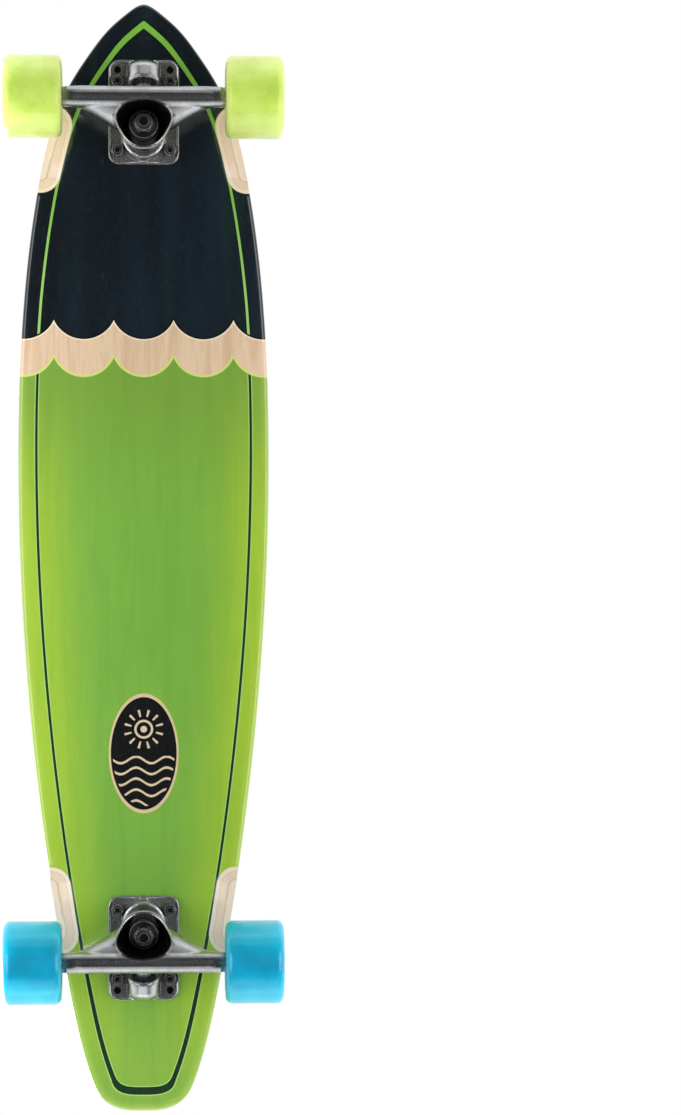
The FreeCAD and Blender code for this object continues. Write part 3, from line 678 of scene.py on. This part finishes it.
grip_outline = outline_of("grip_tape")
grip_profile = [
    (0, 0),
    (0, grip_thickness - grip_roll),
    (grip_roll * 0.3, grip_thickness - grip_roll * 0.3),
    (grip_roll, grip_thickness),
]
grip_mesh = board_mesh(
    "grip_sheet",
    grip_outline,
    grip_profile,
    (grip_hole, grip_hole, grip_thickness / 2),
    grip_step,
)
places = places_of(grip_mesh)
places[:, 2] += deck_bottom + deck_thickness + camber_at(places[:, 0])
grip_mesh.vertices.foreach_set("co", places.ravel())
grip = shown("printed_grip_tape", grip_mesh, grip_finish(), 22)
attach(grip, "board")
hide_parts("grip_tape")


# The baseplates: gravity-cast aluminium, tumbled bright, with a raw dark floor between the bright
# rim and the two bosses. They are bolted up through the deck.
plate_facet = 0.5 * mm
plate_passes = 3
boss_passes = 30
boss_gap = 1.5 * mm
plate_thick = 6.0 * mm
pocket_depth = 0.8 * mm
pocket_slack = 0.3 * mm
plate_rim = 1.2 * mm
hole_reach = 3.3 * mm


def bright_casting(finish, roughness, tone_a, tone_b):
    """Tumbled cast aluminium: bright, a little cloudy, with pits and fine scratches."""
    cloud = finish.noise((14, 14, 14), 4, 0.6)
    pits = finish.noise((0.9, 0.9, 0.9), 2, 0.6).ramp(0.62, 0.74)
    scratch = finish.noise((11, 0.5, 3), 3, 0.7).ramp(0.6, 0.75)
    metal = finish.mix(cloud.ramp(0.3, 0.7), tone_a, tone_b)
    metal = finish.mix(pits * 0.25, metal, "8C8B8B")
    rough = roughness + cloud * 0.14 + scratch * 0.1
    return metal, rough, cloud * 0.7 + pits * -0.35


def baseplate_finish():
    finish = Finish("cast_baseplate", Metallic=1.0)
    metal, rough, height = bright_casting(finish, 0.2, "D9D9DB", "C2C3C6")
    raw = finish.kept("raw")
    grit = finish.noise((0.8, 0.8, 0.8), 3, 0.7)
    dark = finish.mix(grit.ramp(0.35, 0.65), "4A4A47", "94938E")
    finish.feed("Base_Color", finish.mix(raw, metal, dark))
    finish.feed("Roughness", rough + raw * 0.3)
    finish.relief(height + raw * grit * 3.0, 0.12)
    return finish.material


def softened(node, size, passes, boss_below=None):
    """A casting's mesh with its edges softened: remade in even facets, then relaxed.
    What lies below a height is relaxed further, as a boss is that has the most rubbing."""
    stand_in = bpy.data.objects.new("casting", nodes[node].data.copy())
    bpy.context.scene.collection.objects.link(stand_in)
    remesh = stand_in.modifiers.new("facets", "REMESH")
    remesh.mode = "VOXEL"
    remesh.voxel_size = size
    relax = stand_in.modifiers.new("tumbled", "SMOOTH")
    relax.factor = 0.5
    relax.iterations = passes
    bpy.context.view_layer.update()
    graph = bpy.context.evaluated_depsgraph_get()
    mesh = bpy.data.meshes.new_from_object(stand_in.evaluated_get(graph))
    bpy.data.objects.remove(stand_in)
    mesh.materials.clear()
    if boss_below is not None:
        made = bmesh.new()
        made.from_mesh(mesh)
        boss = [v for v in made.verts if v.co.z < boss_below]
        for _ in range(boss_passes):
            bmesh.ops.smooth_vert(
                made, verts=boss, factor=0.5, use_axis_x=True, use_axis_y=True, use_axis_z=True
            )
        made.to_mesh(mesh)
        made.free()
    return mesh


plate_metal = baseplate_finish()
for end, outboard in (("front", 1), ("rear", -1)):
    node = end + "_baseplate"
    low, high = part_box(node)
    pocket = high.z - plate_thick + pocket_depth
    mesh = softened(node, plate_facet, plate_passes, high.z - plate_thick - boss_gap)
    places = places_of(mesh)
    off_rim = np.minimum(
        np.minimum(places[:, 0] - low.x, high.x - places[:, 0]),
        np.minimum(places[:, 1] - low.y, high.y - places[:, 1]),
    )
    raw = (np.abs(places[:, 2] - pocket) < pocket_slack) & (off_rim > plate_rim)
    bolts = [c for c in bolt_centres() if low.x < c[0] < high.x]
    outer = max(c[0] * outboard for c in bolts) * outboard
    spare = [np.array([outer + outboard * spare_pitch, c[1]]) for c in bolts]
    for centre in bolts + spare:
        near = np.linalg.norm(places[:, :2] - centre, axis=1) < hole_reach
        raw |= near & (places[:, 2] > pocket - pocket_slack)
    painted_value(mesh, "raw", raw.astype(float))
    plate = shown(end + "_cast_baseplate", mesh, plate_metal, 180)
    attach(plate, "board")
    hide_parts(node)


# The hangers: cast aluminium wings with the axle cast through them, an oval bowl round the bushings
# and a pivot pin. Tumbling has softened every edge. The bowl's inside is painted dark as painted
# shade, and a band round its rim is painted near white as a painted highlight.
hanger_facet = 0.75 * mm
tumbling_passes = 7
rim_width = 1.7 * mm
bowl_floor = 6.5 * mm
bowl_reach = 24.0 * mm
rim_reach = 30.0 * mm
sole_depth = 3.0 * mm
wall_start = 6.0 * mm
wall_lean = 0.35
wall_fade = 0.2
sole_lean = 0.8


def kingpin_line(end):
    """(a point on a truck's kingpin, the direction from the deck to the nut)."""
    start = middle(end + "_seat_washer")
    return start, (middle(end + "_seat_bushing") - start).normalized()


def hanger_finish():
    finish = Finish("cast_hanger", Metallic=1.0)
    metal, rough, height = bright_casting(finish, 0.2, "BFC0C2", "A9AAAD")
    # The bowl's inside is painted dark: painted shade.
    bowl = finish.kept("bowl")
    shade = finish.noise((5, 5, 5), 3).ramp(0.3, 0.7)
    dark = finish.mix(shade, "2B2729", "443E41")
    # A band round the bowl's rim is painted near white: a painted highlight.
    metal = finish.mix(finish.kept("rim") * 0.9, metal, "FAFAF8")
    finish.feed("Base_Color", finish.mix(bowl, metal, dark))
    finish.feed("Roughness", rough + bowl * 0.12)
    finish.relief(height, 0.05)
    return finish.material


hanger_metal = hanger_finish()
for end in ("front", "rear"):
    mesh = softened(end + "_hanger", hanger_facet, tumbling_passes)
    places = places_of(mesh)
    normals = np.zeros(len(mesh.vertices) * 3)
    mesh.vertices.foreach_get("normal", normals)
    normals = normals.reshape(-1, 3)
    origin, direction = kingpin_line(end)
    from_pin = places - np.array(origin)
    along = from_pin @ np.array(direction)
    radial = from_pin - along[:, None] * np.array(direction)
    reach = np.linalg.norm(radial, axis=1)
    facing = np.sum(normals * radial, axis=1) / np.maximum(reach, 1e-6)
    ring_top = (middle(end + "_road_bushing") - origin).dot(direction) - bowl_floor
    # The bowl's inside, marked for its painted shade.
    wall = np.clip((-wall_lean - facing) / wall_fade, 0, 1)
    sole = (normals @ np.array(direction) > sole_lean) & (along < ring_top + sole_depth)
    inside = np.maximum(wall, sole) * (along > ring_top) * (reach < bowl_reach)
    painted_value(mesh, "bowl", inside)
    walls = np.flatnonzero((inside > 0.5) & (along > ring_top + wall_start))
    nearest = KDTree(len(walls))
    for index in walls:
        nearest.insert(Vector(places[index]), int(index))
    nearest.balance()
    # A band round the bowl's rim, marked for its painted highlight.
    beside = np.flatnonzero((inside <= 0.5) & (along > ring_top) & (reach < rim_reach))
    rim = np.zeros(len(places))
    for index in beside:
        gap = nearest.find(Vector(places[index]))[2]
        rim[index] = max(0, 1 - gap / rim_width)
    painted_value(mesh, "rim", rim)
    hanger = shown(end + "_cast_hanger", mesh, hanger_metal, 180)
    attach(hanger, end + "_hanger")
    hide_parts(end + "_hanger")


# The bushings and pivot cups: cast urethane, black. The bushings sit between the board and the
# hanger, and the cups take the hangers' pivot pins.
def rubber_finish(name, tone_a, tone_b):
    finish = Finish(name, Subsurface_Weight=0.05)
    bloom = finish.noise((6, 6, 6), 4, 0.6)
    finish.feed("Base_Color", finish.mix(bloom.ramp(0.3, 0.75), tone_a, tone_b))
    finish.feed("Roughness", 0.38 + bloom * 0.2)
    finish.relief(finish.noise((0.6, 0.6, 0.6), 2), 0.04, 0.2)
    return finish.material


def rounded(profile, radius, steps=4):
    """A closed profile with each corner rounded to the radius that its sides allow."""
    points = []
    count = len(profile)
    for i, corner in enumerate(profile):
        corner = np.array(corner)
        back = np.array(profile[i - 1]) - corner
        ahead = np.array(profile[(i + 1) % count]) - corner
        reach = min(radius, 0.45 * np.linalg.norm(back), 0.45 * np.linalg.norm(ahead))
        start = corner + back / np.linalg.norm(back) * reach
        end = corner + ahead / np.linalg.norm(ahead) * reach
        for k in range(steps + 1):
            t = k / steps
            points.append((1 - t) ** 2 * start + 2 * t * (1 - t) * corner + t**2 * end)
    return points


def lathe(name, profile, origin, direction, segments=72):
    """A ring turned about an axis, from a closed profile of (radius, distance along)."""
    direction = Vector(direction).normalized()
    helper = Vector((0, 1, 0)) if abs(direction.y) < 0.9 else Vector((1, 0, 0))
    side = direction.cross(helper).normalized()
    other = direction.cross(side)
    verts = []
    faces = []
    count = len(profile)
    for k in range(segments):
        turn = 2 * math.pi * k / segments
        out = side * math.cos(turn) + other * math.sin(turn)
        verts += [origin + out * radius + direction * along for radius, along in profile]
        for i in range(count):
            a, b = k * count + i, k * count + (i + 1) % count
            shift = count if k < segments - 1 else -k * count
            faces.append((a, b, b + shift, a + shift))
    mesh = bpy.data.meshes.new(name)
    mesh.from_pydata(verts, [], faces)
    made = bmesh.new()
    made.from_mesh(mesh)
    bmesh.ops.recalc_face_normals(made, faces=made.faces)
    made.to_mesh(mesh)
    made.free()
    return mesh


pin_radius = 4.9 * mm
barrel_radius = 11.3 * mm
barrel_height = 16.0 * mm
cone_radius = 10.5 * mm
cone_tip = 9.3 * mm
cone_height = 10.5 * mm
washer_half = 0.75 * mm
ring_seat = 2.0 * mm
barrel_waist = 0.985
barrel_bevel = 0.6 * mm
barrel_lip = 1.6 * mm
barrel_round = 1.2 * mm
cone_bevel = 0.4 * mm
cone_lip = 0.8 * mm
blend_inset = 1.0 * mm

black_urethane = rubber_finish("black_urethane", "0E0E10", "1C1B1E")
for end in ("front", "rear"):
    origin, direction = kingpin_line(end)
    start = origin + direction * washer_half
    barrel = [
        (pin_radius, 0),
        (barrel_radius - barrel_bevel, 0),
        (barrel_radius, barrel_lip),
        (barrel_radius * barrel_waist, barrel_height / 2),
        (barrel_radius, barrel_height - barrel_lip),
        (barrel_radius - barrel_bevel, barrel_height),
        (pin_radius, barrel_height),
    ]
    mesh = lathe(end + "_barrel", rounded(barrel, barrel_round), start, direction)
    piece = shown(end + "_barrel_bushing", mesh, black_urethane, 50)
    end + "_hanger"
    start + direction * 2 * blend_inset
    start + direction * (barrel_height - ring_seat)
    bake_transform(piece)
    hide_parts(end + "_seat_bushing")

    start = middle(end + "_road_bushing") - direction * cone_height / 2
    cone = [
        (pin_radius, 0),
        (cone_radius - cone_bevel, 0),
        (cone_radius, cone_lip),
        (cone_radius, ring_seat),
        (cone_tip, cone_height),
        (pin_radius, cone_height),
    ]
    mesh = lathe(end + "_cone", rounded(cone, cone_lip), start, direction)
    piece = shown(end + "_cone_bushing", mesh, black_urethane, 50)
    end + "_hanger"
    start + direction * ring_seat
    start + direction * (cone_height - blend_inset)
    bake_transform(piece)
    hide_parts(end + "_road_bushing")
    nodes[end + "_pivot_cup"].material_slots[0].material = black_urethane


# The fasteners: black-oxide countersunk bolts, lock nuts, kingpin, kingpin nuts and washers, and
# bright zinc axles with their nuts and speed rings.
def edge_wear_and_highlight(finish, radius):
    """1 where the surface turns a corner tighter than a radius in millimetres, 0 on its faces: the
    edges that are painted bright, partly as rubbed wear and partly as a painted highlight.
    """
    worn = finish.tree.nodes.new("ShaderNodeBevel")
    worn.inputs["Radius"].default_value = radius * mm
    face = finish.tree.nodes.new("ShaderNodeNewGeometry")
    agree = finish.tree.nodes.new("ShaderNodeVectorMath")
    agree.operation = "DOT_PRODUCT"
    finish.tree.links.new(worn.outputs[0], agree.inputs[0])
    finish.tree.links.new(face.outputs["Normal"], agree.inputs[1])
    return Field(finish.tree, agree.outputs["Value"]).ramp(0.985, 0.88)


def steel_finish(name, tone_a, tone_b, rough, metallic=1.0, wear=0.2):
    finish = Finish(name, Metallic=metallic)
    cloud = finish.noise((3.5, 3.5, 3.5), 4, 0.65)
    lathe_marks = finish.noise((0.25, 4, 0.25), 2, 0.5)
    rubbed = finish.noise((1.3, 1.3, 1.3), 3, 0.7).ramp(0.6, 0.72)
    tone = finish.mix(cloud.ramp(0.3, 0.7), tone_a, tone_b)
    tone = finish.mix(rubbed * wear, tone, "B9B8B6")
    # Every tight edge is painted near white: partly edges rubbed bright, partly a painted
    # highlight.
    finish.feed("Base_Color", finish.mix(edge_wear_and_highlight(finish, 0.5) * 0.9, tone, "F2F2F2"))
    finish.feed("Roughness", rough + cloud * 0.16 - rubbed * 0.05)
    finish.relief(lathe_marks * 0.6 + cloud * 0.4, 0.03, 0.25)
    return finish.material


oxide = steel_finish("black_oxide_steel", "1B1B1D", "2B2A2C", 0.3, 0.85, 0.16)
zinc = steel_finish("bright_zinc_steel", "C6C8CC", "A7A9AE", 0.16, 1.0, 0.1)
bearing_steel = steel_finish("ground_bearing_steel", "CFCFD2", "B5B6BA", 0.1, 1.0, 0.05)
cage_steel = steel_finish("pressed_cage_steel", "B3A98F", "938A73", 0.25, 1.0, 0.1)
fittings = {
    "mounting_bolts": oxide,
    "mounting_lock_nuts": oxide,
    "kingpin": oxide,
    "seat_washer": oxide,
    "cup_washer": oxide,
    "kingpin_nut": oxide,
    "axle": zinc,
    "axle_nuts": zinc,
    "speed_rings": zinc,
    "spacers": zinc,
    "inner_races": bearing_steel,
}
for end in ("front", "rear"):
    for part, metal in fittings.items():
        nodes[end + "_" + part].material_slots[0].material = metal


# The wheels: urethane poured round a moulded core, turned to a round-lipped tread. The front pair
# is tinted lime and the rear pair blue, and both let light through. Each runs on two shielded
# bearings.
wheel_radius = 32.0 * mm
wheel_half = 22.5 * mm
lip_radius = 5.5 * mm
lip_flat = 4.0 * mm
dish_radius = 20.0 * mm
core_radius = 17.0 * mm
hub_half = 13.0 * mm
lip_steps = 12
tread_step = lip_radius / 9
scatter_reach = 9.0 * mm


def urethane_finish(name, deep, pale, scatter):
    finish = Finish(
        name,
        Subsurface_Weight=1.0,
        Subsurface_Radius=scatter,
        Subsurface_Scale=scatter_reach,
        Coat_Weight=0.6,
        Coat_Roughness=0.08,
    )
    reach = finish.kept("from_axle")
    cloud = finish.noise((18, 18, 18), 3, 0.5)
    tone = finish.mix(cloud.ramp(0.3, 0.7), deep, pale)
    tread = reach.ramp(31.2, 31.9)
    dust = finish.noise((2.5, 7, 2.5), 4, 0.7).ramp(0.5, 0.8)
    tone = finish.mix(dust * tread * 0.12, tone, "5C5B45")
    finish.feed("Base_Color", tone)
    finish.feed("Roughness", 0.24 + tread * 0.14 + dust * 0.08)
    finish.relief(finish.noise((0.5, 2.2, 0.5), 3, 0.6), 0.03)
    return finish.material


def tyre_profile():
    """The tyre's section: bore, dished faces with a small step, and round lips."""
    top = wheel_radius - lip_radius
    inner = top - lip_flat
    half = [
        (core_radius, hub_half),
        (dish_radius - 1.2 * mm, hub_half),
        (dish_radius - 0.3 * mm, hub_half + 0.25 * mm),
        (dish_radius + 0.4 * mm, hub_half + 1.3 * mm),
        (inner - 0.6 * mm, wheel_half - 1.5 * mm),
        (inner + 0.1 * mm, wheel_half - 0.35 * mm),
        (inner + 0.8 * mm, wheel_half),
    ]
    for k in range(lip_steps + 1):
        turn = math.pi / 2 * k / lip_steps
        radius = top + lip_radius * math.sin(turn)
        half.append((radius, wheel_half - lip_radius * (1 - math.cos(turn))))
    half.append((wheel_radius, wheel_half - lip_radius - tread_step))
    return half + [(radius, -along) for radius, along in reversed(half)]


lime_urethane = urethane_finish("lime_urethane", "D6E880", "E2F296", (0.9, 1.0, 0.5))
blue_urethane = urethane_finish("blue_urethane", "00BCD8", "04C8E4", (0.1, 0.8, 1.0))
core_white = rubber_finish("moulded_core", "DDE3D6", "F0F2EC")
shield_black = rubber_finish("bearing_shield", "101012", "1D1D20")
wheel_fittings = {
    "core": core_white,
    "shields": shield_black,
    "outer_races": bearing_steel,
    "balls": bearing_steel,
    "cages": cage_steel,
}
for end, tint, slot in (
    ("front", lime_urethane, "urethane_green"),
    ("rear", blue_urethane, "urethane_blue"),
):
    for side in ("left", "right"):
        wheel = end + "_" + side
        hub = middle(wheel + "_tyre")
        mesh = lathe(wheel + "_tread", tyre_profile(), hub, (0, 1, 0), 128)
        places = places_of(mesh)
        reach = np.hypot(places[:, 0] - hub.x, places[:, 2] - hub.z)
        painted_value(mesh, "from_axle", reach / mm)
        tyre = shown(wheel + "_urethane_tyre", mesh, tint, 40)
        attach(tyre, wheel + "_wheel")
        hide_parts(wheel + "_tyre")
        for part, finish in wheel_fittings.items():
            nodes[wheel + "_" + part].material_slots[0].material = finish


# The stage: a pale floor under the wheels that is clear from below, soft boxes round the board, a
# white sky above and a dim one beneath, and the camera looking straight up at the underside.
floor_half = 30.0
box_size = 2.2
key_size = 1.2
sky_from = -0.3
sky_to = -0.1
below_strength = 0.02
sky_strength = 1.0
camera_distance = 3.0
frame_height = 0.8772
board_from_middle = 0.1548
sensor = 36.0


def floor_finish():
    material = bpy.data.materials.new("pale_floor")
    material.use_nodes = True
    tree = material.node_tree
    shader = tree.nodes["Principled BSDF"]
    shader.inputs["Base Color"].default_value = colour("EDEDEB")
    shader.inputs["Roughness"].default_value = 0.9
    clear = tree.nodes.new("ShaderNodeBsdfTransparent")
    facing = tree.nodes.new("ShaderNodeNewGeometry")
    choice = tree.nodes.new("ShaderNodeMixShader")
    tree.links.new(facing.outputs["Backfacing"], choice.inputs[0])
    tree.links.new(shader.outputs[0], choice.inputs[1])
    tree.links.new(clear.outputs[0], choice.inputs[2])
    tree.links.new(choice.outputs[0], tree.nodes["Material Output"].inputs["Surface"])
    return material


quarters = ((-1, -1), (1, -1), (1, 1), (-1, 1))
corners = [(x * floor_half, y * floor_half, 0) for x, y in quarters]
floor_mesh = bpy.data.meshes.new("floor")
floor_mesh.from_pydata(corners, [], [(0, 1, 2, 3)])
floor_mesh.materials.append(floor_finish())
floor = bpy.data.objects.new("floor", floor_mesh)
bpy.context.scene.collection.objects.link(floor)
floor.visible_shadow = False
floor.visible_glossy = False


def soft_box(name, place, power, size):
    """A square light aimed at the middle of the board."""
    lamp = bpy.data.lights.new(name, "AREA")
    lamp.energy = power
    lamp.size = size
    made = bpy.data.objects.new(name, lamp)
    made.location = place
    made.rotation_mode = "QUATERNION"
    made.rotation_quaternion = (-Vector(place)).to_track_quat("-Z", "Y")
    bpy.context.scene.collection.objects.link(made)


soft_box("nose_box", (2.5, 0.2, -0.85), 7, box_size)
soft_box("tail_box", (-2.5, -0.2, -0.85), 13, box_size)
soft_box("left_box", (0, 2.0, -2.2), 36, box_size)
soft_box("right_box", (0, -2.0, -2.2), 36, box_size)
soft_box("key_box", (-1.2, -1.6, 2.6), 60, key_size)

world = bpy.data.worlds.new("studio")
bpy.context.scene.world = world
world.use_nodes = True
tree = world.node_tree
where = tree.nodes.new("ShaderNodeTexCoord")
split = tree.nodes.new("ShaderNodeSeparateXYZ")
level = tree.nodes.new("ShaderNodeMapRange")
for i, value in zip((1, 2, 3, 4), (sky_from, sky_to, below_strength, sky_strength)):
    level.inputs[i].default_value = value
tree.links.new(where.outputs["Generated"], split.inputs[0])
tree.links.new(split.outputs[2], level.inputs[0])
tree.links.new(level.outputs[0], tree.nodes["Background"].inputs["Strength"])
tree.nodes["Background"].inputs["Color"].default_value = (1, 1, 1, 1)

view = bpy.data.cameras.new("camera")
view.lens = sensor * camera_distance / frame_height
view.sensor_width = sensor
view.clip_end = 100
camera = bpy.data.objects.new("camera", view)
aside = math.atan(board_from_middle / camera_distance)
right = Vector((0, math.cos(aside), -math.sin(aside)))
up = Vector((1, 0, 0))
turned_to_board = Matrix((right, up, right.cross(up))).transposed().to_4x4()
below_deck = Matrix.Translation((0, 0, deck_bottom - camera_distance))
camera.matrix_world = below_deck @ turned_to_board
bpy.context.scene.collection.objects.link(camera)
bpy.context.scene.camera = camera
bpy.context.scene.view_settings.view_transform = "Standard"
